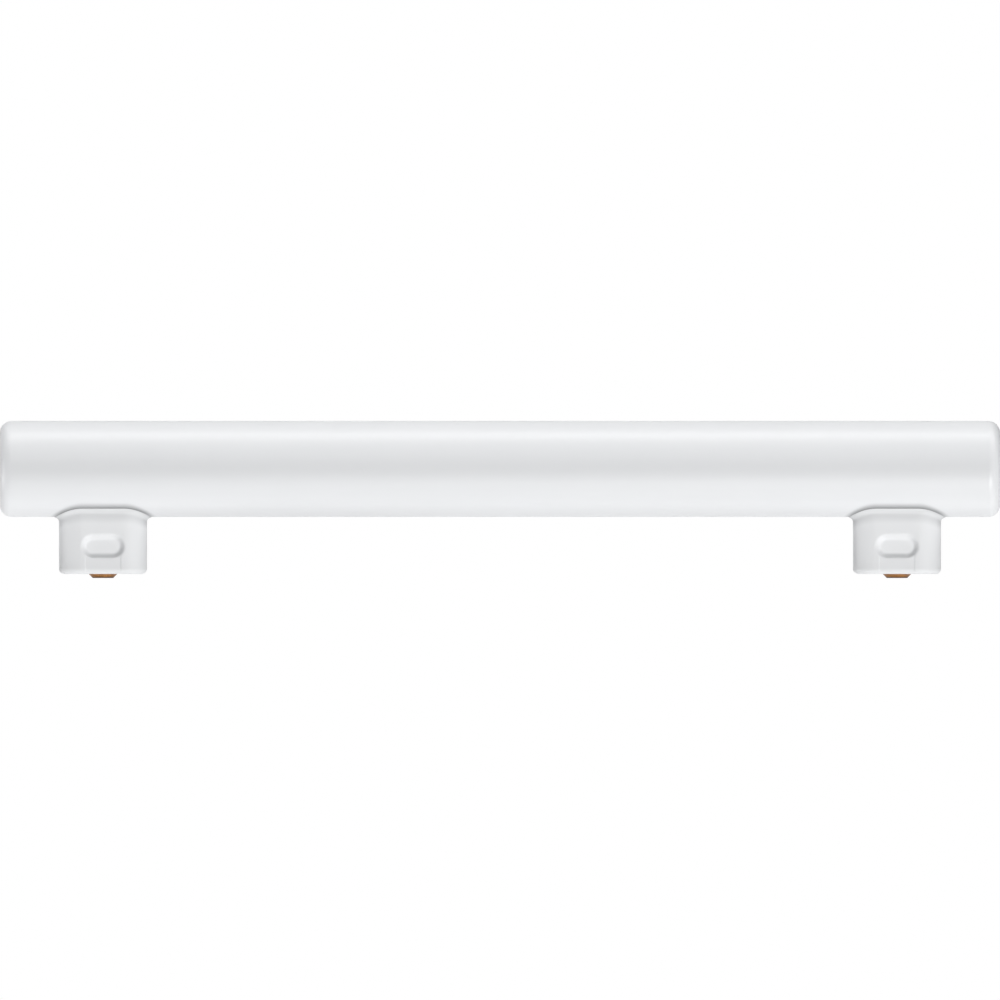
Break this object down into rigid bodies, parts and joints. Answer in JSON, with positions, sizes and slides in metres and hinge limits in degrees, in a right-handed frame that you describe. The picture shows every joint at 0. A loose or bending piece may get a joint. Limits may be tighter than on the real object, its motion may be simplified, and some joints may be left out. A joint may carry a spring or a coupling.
{
  "type": "tubular light bulb",
  "caption": "Linear tubular lamp: a sealed opal tube lying on oblong side caps, each with a retaining dimple front and back and a brass contact underneath that presses on the holder's spring.",
  "frame": {"origin": "midway between the contact faces, on the plane that they stand on", "axes": "+X along the tube, +Y to the back, +Z from the contacts up to the tube"},
  "size_m": [0.3, 0.0288, 0.0471],
  "materials": {
    "opal_tube": "satin opal white, lets no shape through",
    "white_moulding": "fine matt moulded white",
    "contact_brass": "bare turned brass, dulled",
    "lead_wire": "tinned wire"
  },
  "bodies": {
    "root": {"opal_tube": "opal_tube", "left_cap": "white_moulding", "right_cap": "white_moulding", "left_contact": "contact_brass", "right_contact": "contact_brass", "left_lead": "lead_wire", "right_lead": "lead_wire"}
  },
  "joints": []
}
